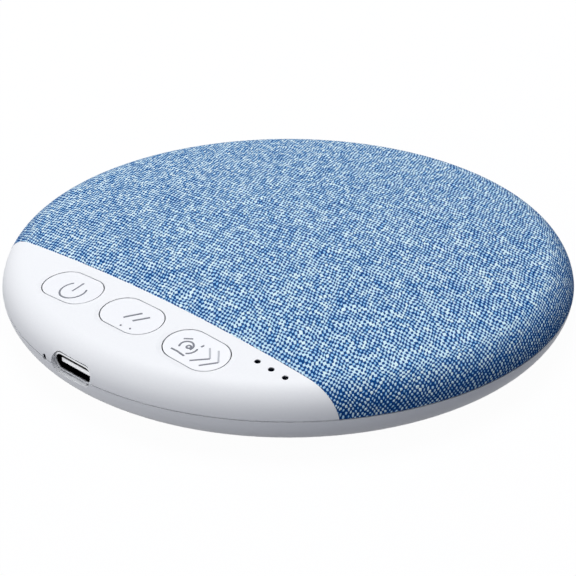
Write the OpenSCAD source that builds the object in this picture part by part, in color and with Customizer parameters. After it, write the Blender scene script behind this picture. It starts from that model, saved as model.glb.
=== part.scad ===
// Pillow speaker: a slim round speaker with a cloth crown and a moulded control panel.
// +Z is up. -Y is the front, with the control panel on top and the charging port in the rim.
// The origin is on the surface that the speaker stands on, below the middle of the case.
// All lengths are in millimetres.

/* [Casing] */
// Overall diameter of the case
case_d = 100; // [97:0.5:116]
// Height of the lower shell, from its underside to the seam
lower_h = 5.4; // [5.2:0.1:6.8]
// Radius of the lower shell's rounded edge
lower_round = 5.85; // [5.05:0.1:6.65]
// Rise of the crown above the seam
crown_h = 7.75; // [7.4:0.05:8.2]
// Radius of the shallow dome on top
dome_r = 340; // [320:1:520]
// Radius of the shoulder between the dome and the rim
shoulder_r = 5.5; // [5.2:0.1:6.6]
// Wall of the lower shell
lower_wall = 1.8; // [1.4:0.1:2.2]
// Open line between the two shells
seam = 0.2; // [0.05:0.05:0.3]
// Depth of the lip that centres the top shell in the lower shell
lip_h = 1.2; // [0.8:0.1:1.6]
// Thickness of the lip
lip_t = 1.5; // [1:0.1:2]
// Clearance around the lip
lip_gap = 0.15; // [0.1:0.05:0.3]

/* [Cover] */
// Depth of the control panel, from its straight edge to the front rim
panel_depth = 18.5; // [18:0.1:21]
// Thickness of the cloth
cloth_t = 0.7; // [0.5:0.05:0.9]
// Wall of the grille under the cloth
grille_t = 1.4; // [1.2:0.1:1.8]
// Wall of the deck under the grille
deck_t = 1.6; // [1.3:0.1:1.9]
// Glue film between cloth, grille and deck
glue = 0.05; // [0.03:0.01:0.1]
// Gap between the cloth and the panel's straight edge
cover_gap = 0.1; // [0.05:0.05:0.3]
// Diameter of a sound hole in the grille
sound_hole_d = 1.8; // [1.2:0.1:2.2]
// Distance between sound holes
sound_pitch = 2.7; // [2.6:0.1:3.2]
// Rings of sound holes around the middle one
sound_rings = 5; // [3:1:5]
// Diameter of the grille's locating pegs
peg_d = 2.4; // [1.8:0.1:3]
// Distance of the pegs from the middle
peg_reach = 28; // [26:0.5:31]
// Radial clearance of the pegs in the deck
peg_gap = 0.1; // [0.05:0.05:0.2]

/* [Keys] */
// Length of a key
key_l = 11.6; // [10:0.1:12.2]
// Width of a key
key_w = 7.3; // [6:0.1:8]
// Gap around a key
key_gap = 0.2; // [0.1:0.05:0.25]
// Distance between neighbouring keys
key_pitch = 14.5; // [14.2:0.1:15.2]
// Middle key, to the right of the case's middle
key_shift = 0.8; // [0:0.1:1.2]
// Distance from the front rim to the keys
key_rim = 8.9; // [8.8:0.05:10]
// How far a key's top lies below the panel's skin, level with the dish around it
key_sink = 0.2; // [0:0.05:0.25]
// Travel of a key
key_travel = 0.3; // [0.2:0.05:0.35]
// Width of the flange that keeps a key in the panel
flange_w = 0.8; // [0.6:0.05:0.9]
// Thickness of the flange
flange_t = 0.7; // [0.5:0.1:0.9]
// Free play above the flange
flange_play = 0.05; // [0.03:0.01:0.1]
// Wall of a key's hollow cap
key_skin = 1.3; // [1:0.1:1.6]
// Diameter of the post in a key that presses the switch
key_post_d = 3.2; // [2.6:0.1:3.6]
// Width of the shallow dish around a key
dish_w = 1.1; // [0.6:0.1:1.4]
// Depth of the dish at the key
dish_d = 0.22; // [0.1:0.02:0.3]

/* [Indicators] */
// Diameter of an indicator window
window_d = 0.9; // [0.8:0.1:1.4]
// Distance between windows
window_pitch = 2.8; // [2.6:0.1:3.2]
// Middle window, from the middle of the panel
window_x = 27.3; // [26.6:0.1:27.8]
// Windows, from the panel's straight edge
window_inset = 2.2; // [1.8:0.1:2.6]
// Clearance around the light guide's pins
window_gap = 0.05; // [0.03:0.01:0.1]
// How far the windows lie below the panel
window_sink = 0.1; // [0:0.05:0.3]
// Width of the bar that joins the light guide's pins
guide_w = 2; // [1.6:0.1:2.4]
// Thickness of the bar
guide_t = 0.8; // [0.6:0.1:1]
// Depth of the panel's pad over the bar
guide_seat = 0.3; // [0.2:0.05:0.5]

/* [Port] */
// Width of the charging port's metal shell
port_w = 8.94; // [8.6:0.02:9.4]
// Height of the metal shell
port_h = 3.16; // [3:0.02:3.4]
// Length of the metal shell
port_l = 6.3; // [5.6:0.1:6.6]
// Sheet of the metal shell
port_sheet = 0.3; // [0.2:0.02:0.4]
// Port, to the left of the case's middle
port_left = 0.2; // [0:0.1:1]
// Middle of the port above the seam
port_rise = 0.7; // [0.3:0.05:0.8]
// Mouth of the port behind the rim
port_sink = 1; // [0.8:0.05:1.4]
// Gap between the metal shell and the case
port_gap = 0.15; // [0.1:0.05:0.3]
// Width of the contact tongue
tongue_w = 6.7; // [6.2:0.1:7]
// Thickness of the contact tongue
tongue_t = 0.7; // [0.6:0.05:0.9]
// Tip of the tongue behind the port's mouth
tongue_sink = 0.5; // [0.4:0.1:1.4]
// Depth of the insulator at the back of the port
insulator_l = 1.4; // [1:0.1:2]
// Diameter of the pinhole in the seam
pinhole_d = 1; // [0.6:0.1:1.2]
// Pinhole, to the left of the port's middle
pinhole_left = 6.6; // [5.8:0.1:8.5]
// Middle of the pinhole above the seam
pinhole_rise = 0.2; // [0:0.05:0.4]

/* [Board] */
// Thickness of the circuit board
board_t = 1; // [0.8:0.1:1.2]
// How far the board reaches back behind the panel's straight edge
board_reach = 9.1; // [8:0.1:10]
// Clearance between the board and the lip
board_gap = 0.6; // [0.4:0.1:1]
// How far the port stands out past the board
port_overhang = 2.2; // [1.8:0.1:2.6]
// Side of a switch body
switch_w = 4.5; // [4:0.1:5]
// Height of a switch body
switch_h = 1.2; // [1:0.1:1.3]
// Diameter of a switch plunger
plunger_d = 2.2; // [1.8:0.1:2.6]
// Plunger above the switch body
plunger_h = 0.6; // [0.5:0.05:0.7]
// Plunger inside the switch body
plunger_sunk = 0.4; // [0.3:0.05:0.5]
// Radial clearance of a plunger
plunger_gap = 0.05; // [0.03:0.01:0.1]
// Height of the lamps on the board
lamp_h = 0.6; // [0.5:0.05:0.7]
// Height of the lamp behind the pinhole
side_lamp_h = 2; // [1.6:0.1:2.2]
// Diameter of the posts under the board
post_d = 4.4; // [4:0.1:5]
// Board screws at the sides, from the middle
post_x = 30; // [28:0.5:31]
// Board screws at the sides, from the board's back edge
post_inset = 4; // [3.5:0.1:5]
// Middle board screw, from the board's back edge
post_mid_inset = 8; // [7:0.1:9]
// Chips, from the middle
chip_x = 9; // [8:0.1:10]
// Chips, from the board's back edge
chip_inset = 6; // [5.5:0.1:7]
// Side of the audio chip
audio_chip_w = 6; // [4:0.1:7]
// Side of the amplifier chip
amplifier_chip_w = 4; // [3:0.1:5]
// Height of the chips
chip_h = 0.9; // [0.6:0.1:1.2]
// Side of the charging coil
inductor_w = 3.6; // [3:0.1:4.2]
// Height of the charging coil
inductor_h = 1.4; // [1:0.1:1.6]
// Length of the crystal
crystal_l = 3.2; // [2.5:0.1:4]
// Length of a capacitor
capacitor_l = 2; // [1.6:0.1:2.4]
// Height of the crystal and the capacitors
small_part_h = 0.8; // [0.5:0.1:1]
// Space between neighbouring parts on the board
part_gap = 1.5; // [1:0.1:2]

/* [Speaker] */
// Diameter of the loudspeaker
driver_d = 36; // [32:0.5:38]
// Height of the loudspeaker without its gasket
driver_h = 4.6; // [4.5:0.05:5]
// Width of the loudspeaker's seat
driver_seat_w = 2.5; // [2:0.1:3]
// Height of the seat below the deck
driver_seat_h = 0.35; // [0.2:0.05:0.6]
// Thickness of the foam gasket
gasket_t = 0.5; // [0.3:0.1:0.7]
// Sheet of the loudspeaker's frame
frame_t = 0.6; // [0.5:0.05:0.7]
// Diameter of the magnet's steel cup
yoke_d = 16.6; // [16.4:0.1:18]
// Wall of the steel cup
yoke_wall = 1.2; // [1:0.05:1.3]
// Height of the steel cup
yoke_h = 2.4; // [2.3:0.05:2.45]
// Diameter of the magnet
magnet_d = 11.4; // [10:0.1:11.6]
// Thickness of the steel plate on the magnet
pole_t = 0.7; // [0.6:0.05:0.8]
// Inner diameter of the voice coil
coil_d = 12.5; // [12.3:0.05:12.7]
// Wall of the voice coil
coil_t = 0.4; // [0.3:0.02:0.46]
// Travel of the cone either way
cone_travel = 0.4; // [0.2:0.05:0.45]
// Thickness of the cone
cone_t = 0.35; // [0.25:0.05:0.4]
// Width of the flexible roll around the cone
roll_w = 2.6; // [2:0.1:2.8]
// Thickness of the flexible roll
roll_t = 0.3; // [0.2:0.05:0.4]

/* [Battery] */
// Length of the cell
battery_l = 30; // [24:0.5:32]
// Width of the cell
battery_w = 20; // [16:0.5:21]
// Thickness of the cell
battery_t = 3.5; // [3:0.1:3.8]
// Thickness of the tape under the cell
tape_t = 0.15; // [0.1:0.05:0.3]
// Space between the cell and the loudspeaker
battery_space = 2; // [2:0.1:3]
// Clearance between the cell and its tray
tray_gap = 0.3; // [0.2:0.05:0.5]
// Height of the tray's ribs
tray_h = 1.6; // [1:0.1:2]
// Thickness of the tray's ribs
tray_t = 1; // [0.8:0.1:1.4]

/* [Fixings] */
// Standing height of the feet
foot_h = 0.6; // [0.4:0.05:1]
// Diameter of a foot
foot_d = 8; // [6.5:0.1:9]
// How deep a foot sits in the lower shell
foot_sink = 0.5; // [0.3:0.05:0.7]
// Clearance around a foot
foot_gap = 0.1; // [0.05:0.05:0.2]
// Case screws, in from the rim
screw_inset = 11.5; // [11:0.1:13]
// Diameter of a case screw
screw_d = 2; // [1.6:0.1:2.2]
// Diameter of a case screw's head
screw_head_d = 3.8; // [3.2:0.1:4]
// Height of a case screw's head
screw_head_h = 1.3; // [1:0.1:1.4]
// Length of a case screw in the top shell
screw_bite = 2.2; // [1.6:0.1:2.4]
// Diameter of the screw bosses
boss_d = 6; // [5.4:0.1:6.6]
// Where the bosses of the two shells meet, below the seam
boss_drop = 0.8; // [0.4:0.1:1.2]
// Clearance of a screw in its boss
screw_gap = 0.02; // [0.01:0.01:0.05]
// Clearance of a screw where it only passes through
pass_gap = 0.15; // [0.1:0.05:0.3]
// Diameter of a board screw
board_screw_d = 1.6; // [1.4:0.1:2]
// Diameter of a board screw's head
board_head_d = 3; // [2.6:0.1:3.4]
// Height of a board screw's head
board_head_h = 0.9; // [0.7:0.1:1.1]
// Diameter of a wire
wire_d = 1; // [0.8:0.1:1.1]

/* [Hidden] */
$fn = 96;

// Cuts and tools run this far past the faces that they open
past = 1;
// Steps along the curves of the section
bend_steps = 28;
dome_steps = 12;

// Levels of the case, from the ground up
case_r = case_d / 2;
z_under = foot_h;
z_floor = z_under + lower_wall;
z_seam = z_under + lower_h;
z_rim = z_seam + seam;
z_apex = z_seam + crown_h;

// Middle of the lower shell's rounded edge
round_over = max(0, lower_round - lower_h);
lower_x = case_r - sqrt(pow(lower_round, 2) - pow(round_over, 2));
lower_z = z_under + lower_round;

// The shoulder's arc starts at the seam and runs into the dome, so the distances of its middle
// from the seam and from the middle of the dome are both known
z_dome = z_apex - dome_r;
dome_to_seam = norm([case_r, z_seam - z_dome]);
dome_to_shoulder = dome_r - shoulder_r;
seam_share = (pow(dome_to_shoulder, 2) - pow(shoulder_r, 2) + pow(dome_to_seam, 2)) / (2 * dome_to_seam);
seam_aside = sqrt(pow(dome_to_shoulder, 2) - pow(seam_share, 2));
shoulder_x = (seam_share * case_r - seam_aside * (z_seam - z_dome)) / dome_to_seam;
shoulder_z = z_dome + (seam_share * (z_seam - z_dome) + seam_aside * case_r) / dome_to_seam;
blend_angle = atan2(shoulder_z - z_dome, shoulder_x);

// Depths below the crown's skin
grille_depth = cloth_t + glue;
deck_depth = grille_depth + grille_t + glue;
hollow_depth = deck_depth + deck_t;

// The panel's straight edge, and the wall behind it
edge_y = case_r - panel_depth;
edge_wall = deck_depth;

// Lip of the top shell, inside the lower shell
lip_z = z_seam - lip_h;
lip_out = lower_x + sqrt(pow(lower_round - lower_wall, 2) - pow(lower_z - lip_z, 2)) - lip_gap;
lip_in = lip_out - lip_t;
lip_root = 0.6 * lip_t;

// Port
port_z = z_seam + port_rise;
port_mouth_y = case_r - port_sink;
port_back_y = port_mouth_y - port_l;
pinhole_angle = asin((port_left + pinhole_left) / case_r);
tab_w = 1;
tab_side = 0.6;

// Board and what stands on it
z_board = port_z - port_h / 2;
z_board_low = z_board - board_t;
board_r = lip_in - board_gap;
board_back_y = edge_y - board_reach;
board_tab_w = port_w + 2 * tab_side;
board_tab_y = port_mouth_y - port_overhang;
post_y = board_back_y + post_inset;
post_mid_y = board_back_y + post_mid_inset;
post_places = [[-post_x, -post_y], [post_x, -post_y], [0, -post_mid_y]];
// Parts in a row to either side of the middle
crystal_x = chip_x + audio_chip_w / 2 + part_gap + crystal_l / 2;
capacitor_x = crystal_x + crystal_l / 2 + part_gap + capacitor_l / 4;
inductor_x = chip_x + amplifier_chip_w / 2 + part_gap + inductor_w / 2;
capacitor_inset = chip_inset + amplifier_chip_w / 2 + part_gap + capacitor_l / 2;
rest_places = [for (side = [-1, 1]) [side * port_w - port_left, -port_back_y - tab_w]];
tab_places = [for (side = [-1, 1], y = [port_back_y + tab_w, board_tab_y - tab_w])
    [side * (port_w - port_sheet) / 2 - port_left, -y]];
leg_l = 0.8;
leg_w = 0.7;
leg_t = 0.2;
lamp_w = 0.8;

// Keys
key_y = case_r - key_rim - key_w / 2;
key_places = [for (i = [-1:1]) [key_shift + i * key_pitch, -key_y]];
z_plunger = z_board + switch_h + plunger_h;
z_flange = z_plunger + flange_t;
z_collar = z_flange + flange_play;

// Light guide
window_y = edge_y + window_inset;
window_places = [for (i = [-1:1]) [window_x + i * window_pitch, -window_y]];
guide_l = 2 * window_pitch + guide_w;
guide_far = norm([window_x + guide_l / 2, window_y + guide_w / 2]);
z_guide = crown_z(guide_far, deck_depth) - guide_seat;

// Loudspeaker, hung under the deck around the case's axis
driver_r = driver_d / 2;
driver_hole_r = driver_r - driver_seat_w;
z_seat = crown_z(driver_r, hollow_depth) - driver_seat_h;
z_driver = z_seat - gasket_t;
z_yoke = z_driver - driver_h;
yoke_r = yoke_d / 2;
yoke_floor = 0.9;
magnet_t = yoke_h - yoke_floor - pole_t;
z_basket = z_yoke + yoke_h / 2;
basket_r = yoke_r + 1.6;
// The roll's outer lip lies on the frame, just inside the gasket
roll_gap = 0.2;
roll_lip = 0.9;
roll_out = driver_hole_r - roll_gap - roll_lip;
// The cone hangs from the roll and clears the steel cup at its lowest
cone_room = 0.15;
cone_r = roll_out - roll_w;
cone_rim_r = cone_r - roll_lip;
coil_r = coil_d / 2;
neck_r = coil_r + coil_t + glue;
z_neck = z_yoke + yoke_h + cone_room + cone_travel + cone_t;
z_coil = z_yoke + yoke_floor + cone_room + cone_travel;
// The dust cap stands on the cone outside the coil
cap_r = neck_r + 1.2;
cap_rise = 1.2;
cap_ball = (pow(cap_r, 2) + pow(cap_rise, 2)) / (2 * cap_rise);
z_cap = z_neck + (z_driver - z_neck) * (cap_r - neck_r) / (cone_rim_r - neck_r) + cone_t + glue;

// Battery behind the loudspeaker
battery_y = driver_r + battery_space + battery_w / 2;
z_battery = z_floor + tape_t;
cell_round = 1.2;

// Screws and feet
screw_r = case_r - screw_inset;
screw_angles = [-22, 38, 142, 202];
z_joint = z_seam - boss_drop;
z_head = z_under + foot_sink + pass_gap;
z_screw_seat = z_head + screw_head_h;
foot_bevel = foot_h / 2;
peg_angles = [-20, 35, 90, 145, 200];

// Routes of the wires, chosen by hand
wire_sides = 8;
wire_steps = 2;
battery_wire_routes = [
    [[15, 28, 5], [16, 28, 5], [18, 28, 5], [21.5, 25.5, 4.6], [23.5, 20, 3.8], [24, 10, 3.4],
     [24, -4, 3.4], [23, -13, 3.8], [20, -20, 5.8], [18.2, -24.2, 6.7], [18, -25.5, 6.3],
     [18, -25.5, 5.7], [18, -25.5, z_board]],
    [[15, 30, 5], [16, 30, 5], [18.5, 30, 5], [23, 27, 4.6], [25.2, 20, 3.8], [25.5, 10, 3.4],
     [25.5, -4, 3.4], [24.6, -13.5, 3.8], [22, -20, 5.8], [20.2, -24.2, 6.7], [20, -25.5, 6.3],
     [20, -25.5, 5.7], [20, -25.5, z_board]]
];
z_solder = z_driver - frame_t - glue;
speaker_wire_routes = [for (x = [-1.6, 1.6])
    [[x, -16.9, z_solder], [x, -16.9, 7.4], [x, -17.8, 6.4], [x, -20, 6], [x, -22.5, 6.5],
     [x, -24.3, 6.8], [x, -25, 6.3], [x, -25, 5.7], [x, -25, z_board]]];

// Height of the crown at a distance r from the axis, depth below its skin
function crown_z(r, depth) =
    r <= (dome_r - depth) * cos(blend_angle)
        ? z_dome + sqrt(pow(dome_r - depth, 2) - r * r)
        : shoulder_z + sqrt(max(0, pow(shoulder_r - depth, 2) - pow(r - shoulder_x, 2)));

// Points of an arc around [x, z]
function arc(x, z, r, from, to, steps) =
    [for (i = [0:steps]) let (a = from + (to - from) * i / steps) [x + r * cos(a), z + r * sin(a)]];

// Half section of the crown below its skin, down to the level z_from
module crown_section(depth, z_from = z_rim) {
    bend = max(shoulder_r - depth, seam);
    shoulder = arc(shoulder_x, shoulder_z, bend, -90, blend_angle, bend_steps);
    dome = arc(0, z_dome, dome_r - depth, blend_angle, 90, dome_steps);
    intersection() {
        polygon(concat([[0, shoulder_z - bend]], shoulder, [for (i = [1:dome_steps]) dome[i]]));
        translate([0, z_from]) square([case_d, 2 * crown_h]);
    }
}

// Half section of the lower shell's inside at a given wall, up to the level z_to
module lower_section(depth, z_to = z_seam) {
    bend = lower_round - depth;
    turn = round_over > 0 ? -asin(round_over / bend) : 0;
    edge = arc(lower_x, lower_z, bend, -90, turn, bend_steps);
    side = z_to > z_seam || round_over == 0 ? [[lower_x + bend * cos(turn), z_to]] : [];
    polygon(concat([[0, z_under + depth]], edge, side, [[0, z_to]]));
}

// The crown behind the panel's straight edge, depth below the skin and inset behind the edge
module crown_cap(depth, inset, z_from = z_rim) {
    intersection() {
        rotate_extrude() crown_section(depth, z_from);
        translate([-case_r, inset - edge_y, 0]) cube([case_d, case_d, 2 * z_apex]);
    }
}

// Everything in front of a line y behind the front rim
module front_of(y) {
    translate([-case_r, -case_d - y, 0]) cube([case_d, case_d, 2 * z_apex]);
}

// Long hole outline with round ends, l long and w wide
module oval(l, w) {
    square([l - w, w], center = true);
    for (side = [-1, 1])
        translate([side * (l - w) / 2, 0]) circle(d = w);
}

// A shape on the crown's skin, turned square to the dome
module on_dome(place) {
    r = norm(place);
    translate([place.x, place.y, crown_z(r, 0)])
        rotate(a = asin(r / dome_r), v = [-place.y, place.x, 0])
            children();
}

module at_screws() {
    for (angle = screw_angles)
        rotate(angle) translate([screw_r, 0, 0]) children();
}

module at_pegs() {
    for (angle = peg_angles)
        rotate(angle) translate([peg_reach, 0, 0]) children();
}

module at_places(places) {
    for (place = places)
        translate([place.x, place.y, 0]) children();
}

// Tube around the Z axis between two radii and two levels
module ring(r_in, r_out, z_low, z_high) {
    translate([0, 0, z_low])
        difference() {
            cylinder(r = r_out, h = z_high - z_low);
            translate([0, 0, -past]) cylinder(r = r_in, h = z_high - z_low + 2 * past);
        }
}

// Opening for the port, from outside the rim to the port's back
module port_opening() {
    translate([-port_left, -port_back_y + port_gap, port_z])
        rotate([90, 0, 0])
            linear_extrude(port_l + port_sink + port_gap + past)
                oval(port_w + 2 * port_gap, port_h + 2 * port_gap);
}

module pinhole() {
    rotate(-90 - pinhole_angle)
        translate([lip_in - past, 0, z_seam + pinhole_rise])
            rotate([0, 90, 0]) cylinder(d = pinhole_d, h = case_r - lip_in + 2 * past, $fn = 24);
}

// Post that stands in the lower shell's floor and reaches a level
module floor_post(d, z_top) {
    translate([0, 0, z_floor - lower_wall / 2]) cylinder(d = d, h = z_top - z_floor + lower_wall / 2);
}

// Saucer with bosses for the case screws, posts for the board, a tray for the cell
// and a ring that centres the loudspeaker's cup
module lower_shell() {
    color("whitesmoke")
    difference() {
        union() {
            rotate_extrude()
                difference() {
                    lower_section(0);
                    lower_section(lower_wall, z_seam + past);
                }
            at_screws() floor_post(boss_d, z_joint);
            at_places(post_places) floor_post(post_d, z_board_low);
            at_places(rest_places) floor_post(post_d / 2, z_board_low);
            battery_tray();
            ring(yoke_r + tray_gap, yoke_r + tray_gap + tray_t, z_floor - lower_wall / 2, z_yoke + tray_gap);
        }
        at_screws() {
            translate([0, 0, z_under - past]) cylinder(d = foot_d + 2 * foot_gap, h = past + foot_sink);
            translate([0, 0, z_under]) cylinder(d = screw_head_d + 2 * pass_gap, h = z_screw_seat - z_under);
            translate([0, 0, z_under]) cylinder(d = screw_d + 2 * pass_gap, h = z_joint);
        }
        at_places(post_places)
            translate([0, 0, z_floor]) cylinder(d = board_screw_d + 2 * screw_gap, h = z_board);
        port_opening();
        pinhole();
    }
}

// Open frame of ribs around the cell, cut off inside the shell's rounded edge
module battery_tray() {
    inner = [battery_l + 2 * tray_gap, battery_w + 2 * tray_gap];
    intersection() {
        translate([0, battery_y, z_floor - lower_wall / 2])
            linear_extrude(tray_h + lower_wall / 2)
                difference() {
                    square(inner + 2 * [tray_t, tray_t], center = true);
                    square(inner, center = true);
                    square([inner.x + 4 * tray_t, inner.y / 2], center = true);
                }
        rotate_extrude() lower_section(lower_wall / 2);
    }
}

// Upper casing: the panel in front, the deck behind it a step lower, the lip below
module top_shell() {
    color("white")
    difference() {
        union() {
            intersection() {
                rotate_extrude()
                    difference() {
                        crown_section(0);
                        crown_section(deck_depth, z_rim - past);
                    }
                front_of(edge_y);
            }
            intersection() {
                rotate_extrude()
                    difference() {
                        crown_section(deck_depth);
                        crown_section(hollow_depth, z_rim - past);
                    }
                translate([-case_r, -edge_y - edge_wall, 0]) cube([case_d, case_d, 2 * z_apex]);
            }
            edge_step();
            lip();
            for (place = key_places)
                translate([place.x, place.y, z_collar])
                    linear_extrude(crown_z(norm(place), deck_depth / 2) - z_collar)
                        oval(key_l + 2 * flange_w, key_w + 2 * flange_w);
            translate([window_x, -window_y, z_guide])
                linear_extrude(crown_z(guide_far, deck_depth / 2) - z_guide)
                    oval(guide_l, guide_w);
            ring(driver_hole_r, driver_r + driver_seat_h, z_seat, crown_z(driver_r, deck_depth + deck_t / 2));
            at_screws()
                translate([0, 0, z_joint])
                    cylinder(d = boss_d, h = crown_z(screw_r, deck_depth + deck_t / 2) - z_joint);
        }
        translate([0, 0, z_seat - past]) cylinder(r = driver_hole_r, h = z_apex);
        at_places(key_places)
            translate([0, 0, z_collar - past])
                linear_extrude(z_apex) oval(key_l + 2 * key_gap, key_w + 2 * key_gap);
        for (place = key_places)
            on_dome(place) key_dish();
        at_places(key_places)
            translate([0, 0, z_seam])
                linear_extrude(z_collar - z_seam)
                    oval(key_l + 2 * (flange_w + key_gap), key_w + 2 * (flange_w + key_gap));
        translate([window_x, -window_y, z_seam])
            linear_extrude(z_guide - z_seam) oval(guide_l + 2 * pass_gap, guide_w + 2 * pass_gap);
        at_places(window_places)
            translate([0, 0, z_guide - past]) cylinder(d = window_d + 2 * window_gap, h = z_apex, $fn = 24);
        at_pegs() cylinder(d = peg_d + 2 * peg_gap, h = z_apex);
        at_screws()
            translate([0, 0, z_joint - past])
                cylinder(d = screw_d + 2 * screw_gap, h = past + screw_bite + pass_gap);
        port_opening();
        pinhole();
    }
}

// Wall that steps down from the panel's straight edge to the deck
module edge_step() {
    difference() {
        intersection() {
            rotate_extrude() crown_section(0);
            front_of(edge_y);
        }
        rotate_extrude() crown_section(hollow_depth, z_rim - past);
        front_of(edge_y + edge_wall);
    }
}

// Lip that drops into the lower shell, rooted in the deck's edge and in the panel's wall,
// open where the port comes through
module lip() {
    difference() {
        union() {
            ring(lip_in, lip_out, lip_z, z_seam);
            ring(lip_in, lip_in + lip_root, lip_z, z_rim + seam + lip_root / 2);
            intersection() {
                ring(lip_in, lip_in + lip_root, lip_z, z_rim + lip_t);
                front_of(edge_y);
            }
        }
        translate([-port_left - board_tab_w / 2 - board_gap, -case_d - port_back_y, 0])
            cube([board_tab_w + 2 * board_gap, case_d, z_apex]);
    }
}

// Flared cutter for the dish around a key: it starts over the key, is dish_d deep at the
// opening's edge and rises to the skin dish_w further out
module key_dish() {
    slope = dish_d / dish_w;
    low = key_w / 2 - key_gap;
    deep = dish_d + 2 * key_gap * slope;
    high = low + (deep + past) / slope;
    for (side = [-1, 1])
        translate([side * (key_l - key_w) / 2, 0, -deep]) cylinder(r1 = low, r2 = high, h = deep + past);
    rotate([90, 0, 90])
        linear_extrude(key_l - key_w, center = true)
            polygon([[-low, -deep], [low, -deep], [high, past], [-high, past]]);
}

// Perforated cap under the cloth, with pegs that go through the deck
module speaker_grille() {
    color("slategray")
    difference() {
        union() {
            difference() {
                crown_cap(grille_depth, cover_gap + grille_depth);
                rotate_extrude() crown_section(grille_depth + grille_t, z_rim - past);
            }
            at_pegs()
                translate([0, 0, crown_z(peg_reach, hollow_depth) - peg_d / 4])
                    cylinder(d = peg_d, h = deck_t + grille_t);
        }
        translate([0, 0, z_seat]) cylinder(d = sound_hole_d, h = z_apex, $fn = 24);
        for (ring_no = [1:sound_rings], step = [0:6 * ring_no - 1])
            rotate(60 * floor(step / ring_no))
                translate([ring_no * sound_pitch, 0, z_seat])
                    rotate(120) translate([(step % ring_no) * sound_pitch, 0, 0])
                        cylinder(d = sound_hole_d, h = z_apex, $fn = 24);
    }
}

// Cloth glued over the grille, down to the seam and, at the panel's straight edge, to the deck
module fabric_cover() {
    color("steelblue")
    difference() {
        crown_cap(0, cover_gap);
        crown_cap(cloth_t, cover_gap + cloth_t, z_rim - past);
        rotate_extrude() crown_section(grille_depth + grille_t, z_rim - past);
    }
}

// Hollow key with a flange below the panel and a post that presses the switch
module key(place) {
    skin_z = crown_z(norm(place) + key_w / 2, key_sink) - key_skin;
    difference() {
        intersection() {
            translate([place.x, place.y, z_plunger])
                union() {
                    linear_extrude(z_apex) oval(key_l, key_w);
                    linear_extrude(flange_t) oval(key_l + 2 * flange_w, key_w + 2 * flange_w);
                }
            rotate_extrude() crown_section(key_sink, z_plunger);
        }
        translate([place.x, place.y, z_plunger - past])
            linear_extrude(skin_z - z_plunger + past)
                difference() {
                    oval(key_l - 2 * key_skin, key_w - 2 * key_skin);
                    circle(d = key_post_d);
                }
    }
}

module power_button() {
    color("white") key(key_places[0]);
}

module play_button() {
    color("white") key(key_places[1]);
}

module timer_button() {
    color("white") key(key_places[2]);
}

// Plunger of the switch under a key
module plunger(place) {
    translate([place.x, place.y, z_board + switch_h - plunger_sunk])
        cylinder(d = plunger_d, h = plunger_sunk + plunger_h, $fn = 32);
}

module power_plunger() {
    color("dimgray") plunger(key_places[0]);
}

module play_plunger() {
    color("dimgray") plunger(key_places[1]);
}

module timer_plunger() {
    color("dimgray") plunger(key_places[2]);
}

// Three pins that end in the panel's windows, joined by a bar under the panel
module light_guide() {
    z_low = z_guide - guide_t;
    color("midnightblue")
    union() {
        translate([window_x, -window_y, z_low])
            linear_extrude(guide_t) oval(guide_l, guide_w);
        for (place = window_places)
            translate([place.x, place.y, z_low])
                cylinder(d = window_d, h = crown_z(norm(place), 0) - window_sink - z_low, $fn = 24);
    }
}

// Drawn metal shell of the port, with tabs that go through the board
module usb_shell() {
    color("silver")
    union() {
        along_port(port_l)
            difference() {
                oval(port_w, port_h);
                oval(port_w - 2 * port_sheet, port_h - 2 * port_sheet);
            }
        for (place = tab_places)
            translate([place.x, place.y, (z_board_low + port_z) / 2])
                cube([port_sheet, tab_w, port_z - z_board_low], center = true);
    }
}

// Extrudes an outline from the back of the port towards its mouth
module along_port(length) {
    translate([-port_left, -port_back_y, port_z])
        rotate([90, 0, 0])
            linear_extrude(length) children();
}

// Insulator at the back of the port, and the flat tongue that carries the contacts
module usb_tongue() {
    color("black")
    union() {
        along_port(insulator_l)
            oval(port_w - 2 * port_sheet - 2 * glue, port_h - 2 * port_sheet - 2 * glue);
        along_port(port_l - tongue_sink)
            square([tongue_w, tongue_t], center = true);
    }
}

// Board under the panel, cut off behind it, with a tab under the port
module main_board() {
    color("darkgreen")
    translate([0, 0, z_board_low])
        linear_extrude(board_t)
            difference() {
                union() {
                    intersection() {
                        circle(r = board_r);
                        translate([-case_r, -case_d - board_back_y]) square([case_d, case_d]);
                    }
                    translate([-port_left - board_tab_w / 2, -board_tab_y])
                        square([board_tab_w, board_tab_y - key_y]);
                }
                at_places(post_places) circle(d = board_screw_d + 2 * pass_gap);
                at_places(tab_places) square([port_sheet, tab_w] + 2 * [pass_gap, pass_gap], center = true);
            }
}

// Switch bodies with their solder legs, bored for the plungers
module tact_switches() {
    bore_h = plunger_sunk + key_travel + pass_gap;
    color("gray")
    at_places(key_places)
        difference() {
            union() {
                translate([0, 0, z_board + switch_h / 2]) cube([switch_w, switch_w, switch_h], center = true);
                for (side = [-1, 1])
                    translate([0, side * switch_w / 3, z_board + leg_t / 2])
                        cube([switch_w + 2 * leg_l, leg_w, leg_t], center = true);
            }
            translate([0, 0, z_board + switch_h - bore_h])
                cylinder(d = plunger_d + 2 * plunger_gap, h = bore_h + past, $fn = 32);
        }
}

// Lamps under the windows, and one on its side behind the pinhole
module indicator_leds() {
    color("lightyellow")
    union() {
        at_places(window_places)
            translate([0, 0, z_board + lamp_h / 2]) cube([lamp_w, 2 * lamp_w, lamp_h], center = true);
        rotate(-90 - pinhole_angle)
            translate([board_r - lamp_w, 0, z_board + side_lamp_h / 2])
                cube([lamp_w, 2 * lamp_w, side_lamp_h], center = true);
    }
}

// Flat part on the board, given by its distance from the board's back edge and its size
module on_board(x, inset, l, w, h) {
    translate([x, -board_back_y - inset, z_board + h / 2]) cube([l, w, h], center = true);
}

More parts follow.
